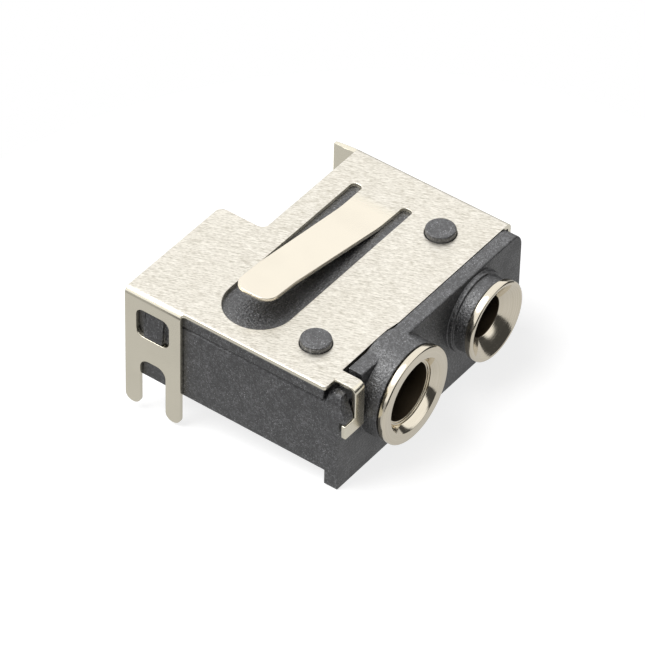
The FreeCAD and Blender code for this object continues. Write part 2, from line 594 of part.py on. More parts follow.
rectangle(foot, "-foot_out", "hook_low", HOOK_FAR, "hook_low + hook_foot")
pad(shield, foot, "sheet", "hook_foot")
dress(shield, "Fillet", "hook_corners", "sheet / 2", lambda e: (
    runs_along(e, "y") and e.CenterOfMass.y < 0 and (
        near(e.CenterOfMass.x, HOOK_NEAR) and near(e.CenterOfMass.z, "hook_low + hook_foot")
        or near(e.CenterOfMass.z, "hook_low"))))
dress(shield, "Fillet", "near_edge_ends", "relief", lambda e: (
    through_plate(e) and near(e.CenterOfMass.x, "-plate_edge_out")))


# Barrels: turned in one piece with the ring that shows, pressed into the collar's hole
def barrel(label, across, ring, ring_thick, bore, mouth, mouth_depth, stepped):
    """The half section turned about the socket's axis."""
    body = new_body(label)
    half = new_sketch(body, "section", "XY_Plane", "socket_height")
    outer = f"({bore} + barrel_wall)"
    face, inner = "-front_reach", "barrel_length - front_reach"
    shoulder = f"{ring_thick} - front_reach"
    points = [(bore, inner), (bore, f"{mouth_depth} - front_reach")]
    if stepped:
        for count in (1, 2):
            radius = f"{bore} + {count} * mouth_step"
            points += [
                (radius, f"{mouth_depth} - {count - 1} * mouth_step_depth - front_reach"),
                (radius, f"{mouth_depth} - {count} * mouth_step_depth - front_reach")]
    points += [
        (mouth, face), (f"{ring} - sheet / 4", face), (ring, f"sheet / 4 - front_reach"),
        (ring, shoulder), (f"{outer} + groove_depth", shoulder),
        (f"{outer} + groove_depth", f"{shoulder} + ring_groove"),
        (outer, f"{shoulder} + ring_groove"), (outer, inner)]
    outline(half, [(f"{across} + {radius}", along) for radius, along in points])
    axis = body.newObject("PartDesign::Line", f"{label}_axis")
    axis.setExpression(".Placement.Base.x", named(across))
    axis.setExpression(".Placement.Base.z", named("socket_height"))
    axis.Placement.Rotation = FreeCAD.Rotation(Vector(0, 0, 1), Vector(0, 1, 0))
    turned = body.newObject("PartDesign::Revolution", f"{label}_turned")
    turned.Profile = half
    turned.ReferenceAxis = (axis, [""])
    turned.Angle = 360
    doc.recompute()
    return body


barrel("large_barrel", "large_across", "large_ring", "large_ring_thick", "large_bore",
       "large_mouth", "large_mouth_depth", stepped=True)
barrel("small_barrel", SMALL_ACROSS, "small_ring", "small_ring_thick", "small_bore",
       "small_mouth", "small_mouth_depth", stepped=False)


# Contact springs: flat strips on edge, pushed down into the chambers, each with a solder tail
def spring(label, points, tail_across, tail_back):
    """A strip seen from above: its line as points, and its thickness along X."""
    body = new_body(label)
    line = new_sketch(body, "line", "XY_Plane", "socket_height - strip_height / 2")
    face = [(across, along) for across, along in points]
    other = [(f"{across} + strip", along) for across, along in reversed(points)]
    outline(line, face + other)
    pad(body, line, "strip_height", "strip")
    stem = new_sketch(body, "stem", "XY_Plane", "-tail_reach")
    rectangle(stem, tail_across, f"{tail_back} - tail_width", f"{tail_across} + strip", tail_back)
    pad(body, stem, "tail_reach + socket_height", "tail")
    return body


for label, points, across, back in SPRINGS:
    spring(label, points, across, back)


# Sleeve terminals: a strip on the chamber's floor, raised in front to touch the barrel
for label, across, barrel_radius in (("large_sleeve_terminal", "large_across", LARGE_BARREL),
                                     ("small_sleeve_terminal", SMALL_ACROSS, SMALL_BARREL)):
    terminal = new_body(label)
    top = f"(socket_height - {barrel_radius} - fit_gap)"
    side = new_sketch(terminal, "side", "YZ_Plane", f"{across} - tail_width / 2")
    outline(side, [
        ("front_wall + fit_gap", f"{top} - strip"), (f"{TERMINAL_BEND}", f"{top} - strip"),
        (f"{TERMINAL_BEND}", "-tail_reach"), (f"{TERMINAL_BEND} + strip", "-tail_reach"),
        (f"{TERMINAL_BEND} + strip", top), ("front_wall + fit_gap", top)])
    pad(terminal, side, "tail_width", "strip")

# Every piece moves together, so that the origin lies on the large socket's axis
for body in doc.Objects:
    if body.TypeId == "PartDesign::Body":
        body.setExpression(".Placement.Base.x", named("-large_across"))
        body.setExpression(".Placement.Base.z", named("-socket_height"))

doc.recompute()
failed = [o.Name for o in doc.Objects if "Invalid" in o.State or "Error" in o.State]
if failed:
    raise RuntimeError(f"features that failed: {failed}")
os.makedirs("parts", exist_ok=True)
for body in doc.Objects:
    if body.TypeId != "PartDesign::Body":
        continue
    if body.Shape.isNull() or not body.Shape.isValid() or len(body.Shape.Solids) != 1:
        raise RuntimeError(f"{body.Label} is not one valid solid")
    body.Shape.exportStep(f"parts/{body.Label}.step")
    print(f"{body.Label}: {body.Shape.Volume:.3f} cubic mm")
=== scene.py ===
import math

import bmesh
import bpy
from bpy.props import FloatProperty, FloatVectorProperty, PointerProperty
from bpy.types import Operator, Panel, PropertyGroup
from mathutils import Matrix, Vector
from mathutils.bvhtree import BVHTree


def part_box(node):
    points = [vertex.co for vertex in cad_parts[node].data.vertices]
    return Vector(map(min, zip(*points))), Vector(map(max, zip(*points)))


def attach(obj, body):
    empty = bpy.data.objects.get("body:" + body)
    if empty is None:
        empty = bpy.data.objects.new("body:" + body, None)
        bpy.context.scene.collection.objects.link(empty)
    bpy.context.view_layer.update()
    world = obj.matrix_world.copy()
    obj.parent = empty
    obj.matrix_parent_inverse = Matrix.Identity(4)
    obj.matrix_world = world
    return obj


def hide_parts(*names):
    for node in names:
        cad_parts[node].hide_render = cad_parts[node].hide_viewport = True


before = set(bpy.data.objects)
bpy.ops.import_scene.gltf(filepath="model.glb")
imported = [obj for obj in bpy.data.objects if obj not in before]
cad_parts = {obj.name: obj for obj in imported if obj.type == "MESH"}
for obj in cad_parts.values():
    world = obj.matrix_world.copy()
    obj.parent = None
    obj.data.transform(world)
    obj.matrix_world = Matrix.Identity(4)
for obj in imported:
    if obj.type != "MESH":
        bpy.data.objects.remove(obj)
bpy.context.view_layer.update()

bl_info = {
    "name": "Twin audio socket",
    "version": (1, 1, 0),
    "blender": (4, 5, 0),
    "location": "View3D > Sidebar > Socket",
    "description": "Finishes a board-mounted twin audio socket and sets its studio",
    "category": "Object",
}

MM = 0.001
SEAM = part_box("lid")[0][2]
PEG_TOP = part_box("lid")[1][2]
BARRELS = ("large_barrel", "small_barrel")
CONTACTS = ("large_tip_spring", "large_tip_switch", "large_ring_spring", "small_tip_spring",
            "small_tip_switch", "small_ring_spring", "large_sleeve_terminal",
            "small_sleeve_terminal")

# Patterns, as noise cells to the metre
MOULDING_HAZE = 5600.0
MOULDING_DIMPLES = 7500.0
MOULDING_FLECKS = 12000.0
MOULDING_CLOUDS = 800.0
PLATE_GRAIN = 14000.0
PLATE_STREAKS = 13000.0
SHEET_CLOUDS = 330.0
TOOL_MARKS = 11000.0
BARREL_CLOUDS = 1500.0
STRIP_GRAIN = 6000.0

# Spans over which one finish goes over into the next: up from the plate's top to where its
# sides bend down and to where the finger rises, back from the lid's front into the painted seam
# shade, out from a bore's wall and back from the front face into the collars into the barrels'
# painted shade, and forward under the front wall
BEND_FADE = (-0.05 * MM, -0.02 * MM)
RISE_FADE = (0.004 * MM, 0.03 * MM)
LID_FADE = (-0.05 * MM, 0.0)
BORE_FADE = (0.03 * MM, 0.01 * MM)
COLLAR_FADE = (0.0, 0.1 * MM)
PAPER_FADE = (2.0 * MM, -1.0 * MM)

# Angles between two faces: below FLAT they become one, above CORNER the edge between them is
# rounded, and above SHARP it is shaded as an edge
FLAT = math.radians(1.0)
CORNER = math.radians(35.0)
TURNED_CORNER = math.radians(25.0)
SHARP = math.radians(50.0)
TURNED_SHARP = math.radians(30.0)

# How near a point is to the seam or the rim to count as on it, how near two points of a mesh
# are to be made one, and the gap between the part and the paper
ON_SEAM = 0.002 * MM
ON_RIM = 0.02 * MM
MOULDING_MERGE = 0.001 * MM
SHEET_MERGE = 0.025 * MM
PAPER_GAP = 0.01 * MM

# Flat sides that stand for a full circle, and the fine steps in the large lead-in cone
TURNED_SIDES = 144
PAPER_SIDES = 128
LARGE_STEPS = 2

# The room that shiny metal mirrors, as cosines: its bright cap fades in over CAP_EDGE, the
# softbox over GLARE_EDGE, and the low part goes from front to back over BACK_EDGE
CAP_MIDDLE = (0.012, 0.238, 0.971)
CAP_EDGE = (0.16, 0.24)
GLARE_EDGE = (0.91, 0.97)
BACK_EDGE = (0.0, 0.3)

WHITE = (1.0, 1.0, 1.0, 1.0)
BLACK = (0.0, 0.0, 0.0, 1.0)


# Node helpers

class Nodes:
    """A node tree, with short calls for the nodes that the finishes and the studio share."""

    def __init__(self, tree, output):
        self.tree = tree
        tree.nodes.clear()
        self.output = tree.nodes.new(output)

    def add(self, kind, **inputs):
        """A new node, with its inputs given by name."""
        node = self.tree.nodes.new(kind)
        for name, value in inputs.items():
            self.feed(value, node.inputs[name.replace("_", " ")])
        return node

    def feed(self, value, socket):
        """Links another node's output, or sets the socket's own value."""
        if isinstance(value, bpy.types.NodeSocket):
            self.tree.links.new(value, socket)
        else:
            socket.default_value = value

    def place(self, scale=(1, 1, 1), move=(0, 0, 0), turn=0.0):
        """Object coordinates, turned about Z, then scaled and moved.

        A move of its own keeps one pattern from lining up with another."""
        coordinates = self.add("ShaderNodeTexCoord")
        turned = self.add("ShaderNodeMapping", Rotation=(0.0, 0.0, turn),
                          Vector=coordinates.outputs["Object"])
        mapping = self.add("ShaderNodeMapping", Scale=scale, Location=move,
                           Vector=turned.outputs["Vector"])
        return mapping.outputs["Vector"]

    def noise(self, vector, scale, detail=3.0, roughness=0.5):
        node = self.add("ShaderNodeTexNoise", Vector=vector, Scale=scale, Detail=detail,
                        Roughness=roughness)
        return node.outputs["Fac"]

    def between(self, value, low, high, to_low=0.0, to_high=1.0):
        """The value's place between low and high, from to_low to to_high and no further."""
        node = self.add("ShaderNodeMapRange", Value=value, From_Min=low, From_Max=high,
                        To_Min=to_low, To_Max=to_high)
        return node.outputs["Result"]

    def maths(self, operation, first, second=0.0):
        node = self.add("ShaderNodeMath")
        node.operation = operation
        self.feed(first, node.inputs[0])
        self.feed(second, node.inputs[1])
        return node.outputs["Value"]

    def within(self, value, middle, half, fade):
        """1 where the value is near the middle. Over a fade it falls to 0, as far off as half."""
        away = self.maths("ABSOLUTE", self.maths("SUBTRACT", value, middle))
        return self.between(away, half, half - fade)

    def along(self, vector, direction):
        """How far a vector goes in a direction."""
        node = self.add("ShaderNodeVectorMath")
        node.operation = "DOT_PRODUCT"
        self.feed(vector, node.inputs[0])
        self.feed(direction, node.inputs[1])
        return node.outputs["Value"]

    def mix(self, amount, first, second):
        """Two colours, mixed by amount."""
        node = self.add("ShaderNodeMix")
        node.data_type = "RGBA"
        for name, kind, value in (("Factor", "VALUE", amount), ("A", "RGBA", first),
                                  ("B", "RGBA", second)):
            socket = [s for s in node.inputs if s.name == name and s.type == kind][0]
            self.feed(value, socket)
        return [s for s in node.outputs if s.type == "RGBA"][0]

    def bump(self, height, distance):
        node = self.add("ShaderNodeBump", Height=height, Distance=distance, Strength=1.0)
        return node.outputs["Normal"]

    def either(self, *rays):
        """1 for a ray of any of these kinds, as Light Path names them, and 0 for others."""
        path = self.add("ShaderNodeLightPath")
        found = path.outputs[rays[0]]
        for ray in rays[1:]:
            found = self.maths("MAXIMUM", found, path.outputs[ray])
        return found

    def finish(self, shader):
        self.tree.links.new(shader.outputs[0], self.output.inputs["Surface"])


def new_material(name):
    material = bpy.data.materials.new(name)
    material.use_nodes = True
    return material, Nodes(material.node_tree, "ShaderNodeOutputMaterial")


def colour(values):
    return (*values, 1.0)


def paint(names, material):
    """Puts the material in every slot of these CAD nodes."""
    for name in names:
        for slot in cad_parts[name].material_slots:
            slot.link = "OBJECT"
            slot.material = material


# Materials

def moulding_material(settings):
    """Black glass-filled plastic: dark resin under a glossy skin that glitters in the light."""
    material, nodes = new_material("glass_filled_moulding")
    haze = nodes.noise(nodes.place(), MOULDING_HAZE, detail=4.0, roughness=0.65)
    dimple = nodes.noise(nodes.place(move=(0.2, 0.3, 0.1)), MOULDING_DIMPLES, detail=1.0)
    fleck = nodes.noise(nodes.place(move=(0.3, 0.1, 0.2)), MOULDING_FLECKS, detail=2.0,
                        roughness=0.6)
    cloud = nodes.noise(nodes.place(move=(0.1, 0.4, 0.0)), MOULDING_CLOUDS)
    dark, pale = colour(settings.moulding_dark), colour(settings.moulding_pale)
    split = nodes.add("ShaderNodeSeparateXYZ", Vector=nodes.place())
    behind = nodes.maths("SUBTRACT", split.outputs["Y"], settings.lid_front)
    # Painted shade: a thin band along the seam, from the lid's front back, is painted black and
    # made rough, standing in for the shadow in the joint between the lid and the housing
    seam = nodes.maths("MULTIPLY", nodes.within(split.outputs["Z"], SEAM, *settings.seam_shade_line),
                       nodes.between(behind, *LID_FADE))
    shade = nodes.mix(nodes.between(haze, 0.48, 0.64), dark, pale)
    shade = nodes.mix(nodes.between(fleck, 0.61, 0.70, 0.0, 0.8), shade,
                      colour(settings.moulding_fleck))
    shade = nodes.mix(nodes.between(cloud, 0.4, 0.65, 0.0, 0.5), shade, dark)
    shade = nodes.mix(seam, shade, BLACK)
    rough = nodes.maths("MAXIMUM", nodes.between(cloud, 0.35, 0.65, 0.38, 0.5), seam)
    shader = nodes.add("ShaderNodeBsdfPrincipled", Base_Color=shade, Roughness=rough,
                       Normal=nodes.bump(dimple, settings.moulding_relief))
    shader.inputs["Specular IOR Level"].default_value = 1.0
    shader.inputs["IOR"].default_value = settings.moulding_index
    nodes.finish(shader)
    return material


def sheet_material(settings):
    """Nickel plated sheet: short fine grain on the plate, smooth on the finger and the tabs."""
    material, nodes = new_material("brushed_nickel_sheet")
    split = nodes.add("ShaderNodeSeparateXYZ", Vector=nodes.place())
    height = nodes.maths("SUBTRACT", split.outputs["Z"], PEG_TOP - settings.peg_rise)
    across, back = (nodes.within(split.outputs[axis], *reach) for axis, *reach in zip(
        "XY", settings.finger_middle, settings.finger_half, settings.finger_fade))
    finger = nodes.maths("MAXIMUM", nodes.between(height, *RISE_FADE),
                         nodes.maths("MULTIPLY", across, back))
    plate = nodes.maths("SUBTRACT", nodes.between(height, *BEND_FADE), finger)
    grain = nodes.noise(nodes.place(scale=(1.0, 0.3, 1.0), turn=settings.sheet_turn),
                        PLATE_GRAIN, detail=2.0, roughness=0.6)
    streak = nodes.noise(nodes.place(scale=(1.0, 0.1, 1.0), turn=settings.sheet_turn),
                         PLATE_STREAKS)
    cloud = nodes.noise(nodes.place(), SHEET_CLOUDS, detail=2.0)
    lines = nodes.maths("ADD", nodes.maths("MULTIPLY", grain, 0.5),
                        nodes.maths("MULTIPLY", streak, 0.5))
    brushed = nodes.mix(nodes.between(lines, 0.36, 0.6), colour(settings.sheet_shade),
                        colour(settings.sheet_light))
    tone = nodes.mix(plate, colour(settings.sheet_plain), brushed)
    tone = nodes.mix(finger, tone, colour(settings.sheet_finger))
    tone = nodes.mix(nodes.between(cloud, 0.45, 0.75, 0.0, 0.1), tone,
                     colour(settings.sheet_shade))
    rough = nodes.maths("ADD", nodes.maths("MULTIPLY", plate, 0.14),
                        nodes.between(cloud, 0.3, 0.7, 0.2, 0.26))
    relief = nodes.maths("MULTIPLY", lines, nodes.between(plate, 0.0, 1.0, 0.12, 1.0))
    shader = nodes.add("ShaderNodeBsdfPrincipled", Base_Color=tone, Metallic=1.0,
                       Roughness=rough, Normal=nodes.bump(relief, settings.sheet_relief))
    nodes.finish(shader)
    return material


def about_axis(nodes, node):
    """How far each point is from a barrel's axis."""
    low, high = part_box(node)
    centre = (low + high) / 2
    flat = nodes.place(scale=(1.0, 0.0, 1.0), move=(-centre.x, 0.0, -centre.z))
    reach = nodes.add("ShaderNodeVectorMath")
    reach.operation = "LENGTH"
    nodes.feed(flat, reach.inputs[0])
    return reach.outputs["Value"]


def turned_material(settings, node, bore):
    """Bright nickel with fine tool marks round the axis. In the bore and where the barrel stands
    inside the housing it is painted dark as shade, and rougher.
    """
    material, nodes = new_material(f"turned_nickel_{node}")
    radius = about_axis(nodes, node)
    split = nodes.add("ShaderNodeSeparateXYZ", Vector=nodes.place())
    rings = nodes.add("ShaderNodeCombineXYZ", X=radius, Y=split.outputs["Y"], Z=0.0)
    grain = nodes.noise(rings.outputs["Vector"], TOOL_MARKS)
    cloud = nodes.noise(nodes.place(), BARREL_CLOUDS)
    # Painted shade: near the bore's wall and behind the front face the colour goes to the dark
    # bore shade colour
    off_wall = nodes.maths("SUBTRACT", radius, bore)
    inside = nodes.maths("MAXIMUM", nodes.between(off_wall, *BORE_FADE),
                         nodes.between(split.outputs["Y"], *COLLAR_FADE))
    tone = nodes.mix(nodes.between(grain, 0.3, 0.7), colour(settings.turned_shade),
                     colour(settings.turned_colour))
    tone = nodes.mix(inside, tone, colour(settings.bore_shade_colour))
    rough = nodes.maths("ADD", nodes.between(grain, 0.3, 0.7, 0.06, 0.14),
                        nodes.between(cloud, 0.4, 0.7, 0.0, 0.06))
    rough = nodes.maths("ADD", rough, nodes.maths("MULTIPLY", inside, 0.35))
    shader = nodes.add("ShaderNodeBsdfPrincipled", Base_Color=tone, Metallic=1.0,
                       Roughness=rough, Normal=nodes.bump(grain, settings.turned_relief))
    nodes.finish(shader)
    return material


def contact_material(settings):
    """Plated bronze strip with a fine rolled grain, painted dark as shade and rougher where it
    stands inside a bore.
    """
    material, nodes = new_material("plated_bronze_strip")
    grain = nodes.noise(nodes.place(scale=(1.0, 0.06, 1.0)), STRIP_GRAIN)
    base = settings.contact_colour
    tone = nodes.mix(nodes.between(grain, 0.3, 0.7), colour([v * 0.8 for v in base]),
                     colour(base))
    # Painted shade: within the reach of a barrel's axis the contacts take the dark bore shade
    # colour
    nearest = nodes.maths("MINIMUM", *(about_axis(nodes, barrel) for barrel in BARRELS))
    inside = nodes.between(nearest, settings.bore_shade_reach, settings.bore_shade_reach * 0.9)
    tone = nodes.mix(inside, tone, colour(settings.bore_shade_colour))
    rough = nodes.maths("ADD", nodes.between(grain, 0.3, 0.7, 0.22, 0.36),
                        nodes.maths("MULTIPLY", inside, 0.3))
    shader = nodes.add("ShaderNodeBsdfPrincipled", Base_Color=tone, Metallic=1.0,
                       Roughness=rough, Normal=nodes.bump(grain, settings.turned_relief))
    nodes.finish(shader)
    return material


# Pieces

def add_piece(context, name, form, node, material, sharp):
    """Makes an object of the mesh, which stands for the CAD node from here on."""
    mesh = bpy.data.meshes.new(name)
    form.to_mesh(mesh)
    form.free()
    mesh.shade_smooth()
    mesh.set_sharp_from_angle(angle=sharp)
    mesh.materials.append(material)
    piece = bpy.data.objects.new(name, mesh)
    context.collection.objects.link(piece)
    weighted = piece.modifiers.new("weighted_normals", "WEIGHTED_NORMAL")
    weighted.keep_sharp = True
    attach(piece, "root")
    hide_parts(node)


def softened(node, merge, offset, kept):
    """A copy of a CAD node's mesh with its corners rounded by offset.

    An edge stays sharp where kept says so of both its ends. No point leaves the node's box,
    and one that the bevel throws off the CAD surface goes back to it."""
    form = bmesh.new()
    form.from_mesh(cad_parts[node].data)
    whole = BVHTree.FromBMesh(form)
    low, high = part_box(node)
    bmesh.ops.remove_doubles(form, verts=form.verts, dist=merge)
    bmesh.ops.dissolve_limit(form, angle_limit=FLAT, verts=form.verts, edges=form.edges)
    edges = [edge for edge in form.edges if edge.calc_face_angle() > CORNER
             and not all(kept(vertex.co) for vertex in edge.verts)]
    bmesh.ops.bevel(form, geom=edges, offset=offset, offset_type="OFFSET", affect="EDGES",
                    segments=3, profile=0.5, material=-1)
    for vertex in form.verts:
        nearest, normal, index, distance = whole.find_nearest(vertex.co)
        if distance > offset:
            vertex.co = nearest
        vertex.co = [min(max(value, least), most)
                     for value, least, most in zip(vertex.co, low, high)]
    return form


def turned(node, profile, edge_round):
    """A closed half section, as (radius, depth from the mouth), spun about the node's axis."""
    low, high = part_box(node)
    centre = (low + high) / 2
    form = bmesh.new()
    corners = [form.verts.new((centre.x + radius, low.y + depth, centre.z))
               for radius, depth in profile]
    rim = [form.edges.new((first, second))
           for first, second in zip(corners, corners[1:] + corners[:1])]
    bmesh.ops.spin(form, geom=corners + rim, cent=centre, axis=(0, 1, 0),
                   angle=2 * math.pi, steps=TURNED_SIDES, use_merge=True)
    bmesh.ops.recalc_face_normals(form, faces=form.faces)
    edges = [edge for edge in form.edges if edge.calc_face_angle() > TURNED_CORNER]
    bmesh.ops.bevel(form, geom=edges, offset=edge_round, offset_type="OFFSET", affect="EDGES",
                    segments=2, profile=0.5, material=-1)
    return form


# Studio

def view_matrix(studio):
    """The camera's turn: its right, up and backward directions as columns."""
    back = Vector((math.sin(studio.azimuth) * math.cos(studio.elevation),
                   -math.cos(studio.azimuth) * math.cos(studio.elevation),
                   math.sin(studio.elevation)))
    right = Vector((math.cos(studio.azimuth), math.sin(studio.azimuth), 0.0))
    up = back.cross(right)
    rolled_right = right * math.cos(studio.roll) + up * math.sin(studio.roll)
    rolled_up = up * math.cos(studio.roll) - right * math.sin(studio.roll)
    return Matrix((rolled_right, rolled_up, back)).transposed()


def add_camera(context, studio):
    data = bpy.data.cameras.new("camera")
    data.lens = studio.lens
    data.sensor_width = 36.0
    data.clip_start = 0.01
    camera = bpy.data.objects.new("camera", data)
    context.collection.objects.link(camera)
    turn = view_matrix(studio)
    camera.matrix_world = turn.to_4x4()
    camera.location = Vector(studio.target) + turn.col[2] * studio.distance
    context.scene.camera = camera


def add_softbox(context, studio):
    """The lamp. What surfaces mirror in its place is the bright part of the room."""
    lamp = bpy.data.lights.new("softbox", "AREA")
    lamp.shape = "DISK"
    lamp.size = studio.key_size
    lamp.energy = studio.key_power
    softbox = bpy.data.objects.new("softbox", lamp)
    context.collection.objects.link(softbox)
    direction = Vector(studio.key_direction).normalized()
    softbox.location = Vector(studio.target) + direction * studio.key_distance
    softbox.rotation_euler = direction.to_track_quat("Z", "Y").to_euler()
    softbox.visible_glossy = False


def set_world(context, studio):
    """A white room. In reflections its low front part is dark, as past a softbox's edge."""
    world = bpy.data.worlds.new("white_room")
    context.scene.world = world
    world.use_nodes = True
    nodes = Nodes(world.node_tree, "ShaderNodeOutputWorld")
    direction = nodes.add("ShaderNodeTexCoord").outputs["Generated"]
    height, towards_key = (nodes.along(direction, axis) for axis in (
        CAP_MIDDLE, Vector(studio.key_direction).normalized()))
    split = nodes.add("ShaderNodeSeparateXYZ", Vector=direction)
    horizon = nodes.between(split.outputs["Y"], *BACK_EDGE, studio.horizon, studio.far_horizon)
    mirrored = nodes.maths("ADD", nodes.between(height, *CAP_EDGE, horizon, studio.room),
                           nodes.between(towards_key, *GLARE_EDGE, 0.0, studio.key_glare))
    glossy = nodes.either("Is Glossy Ray")
    seen = nodes.either("Is Camera Ray", "Is Transmission Ray")
    strength = nodes.maths("ADD", studio.ambient,
                           nodes.maths("MULTIPLY", seen, 1.0 - studio.ambient))
    strength = nodes.maths("ADD", strength, nodes.maths(
        "MULTIPLY", glossy, nodes.maths("SUBTRACT", mirrored, studio.ambient)))
    nodes.finish(nodes.add("ShaderNodeBackground", Strength=strength, Color=WHITE))


def paper_material(studio):
    """Paper that is white to the eye, keeps the part's shadow, and is clear from below."""
    material, nodes = new_material("white_paper")
    seen = nodes.either("Is Camera Ray", "Is Transmission Ray")
    glossy = nodes.either("Is Glossy Ray")
    shade = nodes.between(glossy, 0.0, 1.0, studio.paper, studio.paper_mirrored)
    paper = nodes.add("ShaderNodeBsdfDiffuse", Color=nodes.mix(shade, BLACK, WHITE))
    split = nodes.add("ShaderNodeSeparateXYZ", Vector=nodes.place())
    near = nodes.between(split.outputs["Y"], *PAPER_FADE,
                         studio.paper_glow * studio.paper_back, studio.paper_glow)
    glow = nodes.maths("ADD", nodes.maths("MULTIPLY", seen, studio.paper_seen),
                       nodes.maths("MULTIPLY", glossy, near))
    lifted = nodes.add("ShaderNodeAddShader")
    nodes.feed(paper.outputs[0], lifted.inputs[0])
    nodes.feed(nodes.add("ShaderNodeEmission", Strength=glow).outputs[0], lifted.inputs[1])
    below = nodes.maths("MULTIPLY", nodes.add("ShaderNodeNewGeometry").outputs["Backfacing"],
                        nodes.either("Is Camera Ray"))
    one_sided = nodes.add("ShaderNodeMixShader", Fac=below)
    nodes.feed(lifted.outputs[0], one_sided.inputs[1])
    nodes.feed(nodes.add("ShaderNodeBsdfTransparent").outputs[0], one_sided.inputs[2])
    nodes.finish(one_sided)
    return material


def add_floor(context, studio):
    """A round sheet of paper that the part stands on, tilted from its front lip to its legs."""
    lip = Vector((0.0, 0.0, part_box("housing")[0][2]))
    legs = [vertex.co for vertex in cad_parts["shield"].data.vertices
            if vertex.co.z < lip.z]
    slope = min(math.atan2(point.z - lip.z, point.y - lip.y) for point in legs)
    middle = Vector((studio.target[0], studio.target[1], 0.0))
    middle.z = lip.z + math.tan(slope) * (middle.y - lip.y) - PAPER_GAP
    mesh = bpy.data.meshes.new("paper")
    form = bmesh.new()
    bmesh.ops.create_circle(form, cap_ends=True, segments=PAPER_SIDES,
                            radius=studio.paper_radius)
    bmesh.ops.rotate(form, verts=form.verts, cent=(0, 0, 0),
                     matrix=Matrix.Rotation(slope, 3, "X"))
    bmesh.ops.translate(form, verts=form.verts, vec=middle)
    form.to_mesh(mesh)
    form.free()
    mesh.materials.append(paper_material(studio))
    paper = bpy.data.objects.new("paper", mesh)
    context.collection.objects.link(paper)


# Settings

def tint(name, description, default):
    return FloatVectorProperty(name=name, description=description, default=default,
                               subtype="COLOR", size=3, min=0.0, max=1.0)


def length(name, description, millimetres):
    return FloatProperty(name=name, description=description, default=millimetres * MM,
                         unit="LENGTH", precision=5)


class SocketFinish(PropertyGroup):
    moulding_dark: tint("Moulding dark", "Resin of the black moulding", (0.004, 0.004, 0.005))
    moulding_pale: tint("Moulding pale", "Glass haze in the moulding", (0.115, 0.116, 0.122))
    moulding_fleck: tint("Moulding fleck", "Glass flecks in the skin", (0.60, 0.60, 0.62))
    moulding_index: FloatProperty(name="Moulding index", description="Refractive index that "
                                  "sets how much its skin reflects", default=1.68, min=1.0)
    moulding_relief: length("Moulding relief", "Depth of its texture", 0.045)
    lid_front: length("Lid front", "Front face to the front end of the lid", 1.12)
    # Painted shade: the seam's dark band stands in for the shadow in the joint
    seam_shade_line: FloatVectorProperty(
        name="Seam line", description="Half the width of the lid's dark seam, and its fade",
        default=(0.045 * MM, 0.02 * MM), size=2, subtype="XYZ_LENGTH")
    rim_depth: length("Rim depth", "Front rim, front to back, which the plate meets", 0.9)
    moulding_round: length("Moulding round", "Round of the moulded edges", 0.06)
    sheet_plain: tint("Sheet", "Nickel sheet where it is smooth", (0.92, 0.865, 0.715))
    sheet_shade: tint("Sheet shade", "Dark lines of the grain", (0.60, 0.56, 0.47))
    sheet_light: tint("Sheet light", "Bright lines of the grain", (1.0, 0.96, 0.87))
    sheet_finger: tint("Sheet finger", "Smooth metal of the finger", (0.95, 0.88, 0.745))
    sheet_turn: FloatProperty(name="Sheet turn", description="Turn of the plate's grain from "
                              "front to back", default=math.radians(-23), subtype="ANGLE")
    sheet_relief: length("Sheet relief", "Depth of the grain", 0.006)
    sheet_round: length("Sheet round", "Round of the sheet's cut edges", 0.05)
    finger_middle: FloatVectorProperty(
        name="Finger middle", description="Middle of the finger, across and from the front face",
        default=(4.0 * MM, 7.9 * MM), size=2, subtype="XYZ_LENGTH")
    finger_half: FloatVectorProperty(
        name="Finger half", description="Half of its smooth metal, across and front to back",
        default=(5.3 * MM, 1.7 * MM), size=2, subtype="XYZ_LENGTH")
    finger_fade: FloatVectorProperty(
        name="Finger fade", description="How far the smooth metal fades into the brushed plate",
        default=(1.0 * MM, 0.05 * MM), size=2, subtype="XYZ_LENGTH")
    peg_rise: length("Peg rise", "Height of the two pegs above the plate", 0.36)
    turned_colour: tint("Turned metal", "Bright nickel of the barrels", (0.86, 0.79, 0.655))
    turned_shade: tint("Turned metal shade", "Tool marks on the barrels", (0.77, 0.70, 0.57))
    turned_relief: length("Turned relief", "Depth of the tool marks", 0.0025)
    # Painted shade: the colour that stands in for the shadow inside the bores and the housing
    bore_shade_colour: tint("Bores", "Dull metal inside the bores", (0.085, 0.066, 0.045))
    contact_colour: tint("Contacts", "Plated bronze of the contacts", (0.72, 0.58, 0.38))
    # Painted shade: the contacts are painted dark within this distance of a barrel's axis
    bore_shade_reach: length("Tarnish reach", "Distance from an axis where contacts are dull", 2.3)


class SocketBarrels(PropertyGroup):
    wall: length("Wall", "Wall of both barrels", 0.42)
    groove: length("Groove", "Groove behind each ring, along the axis", 0.12)
    groove_step: length("Groove step", "Shoulder in that groove, above the barrel", 0.22)
    ring_chamfer: length("Ring chamfer", "Chamfer on each ring's outer edge", 0.07)
    edge_round: length("Edge round", "Round of the turned edges", 0.02)
    large_bore: length("Large bore", "Radius of the large bore", 1.80)
    large_mouth: length("Large mouth", "Radius of the large lead-in cone", 2.34)
    large_depth: length("Large depth", "Depth of the large cone and its steps", 0.61)
    large_ring: length("Large ring", "Thickness of the large ring", 0.40)
    small_bore: length("Small bore", "Radius of the small bore", 1.29)
    small_mouth: length("Small mouth", "Radius of the small lead-in cone", 2.30)
    small_depth: length("Small depth", "Depth of the small cone", 0.80)
    small_ring: length("Small ring", "Thickness of the small ring", 0.44)
    step: length("Step", "Width of each fine step inside the large cone", 0.09)
    step_depth: length("Step depth", "Depth of each of them", 0.08)


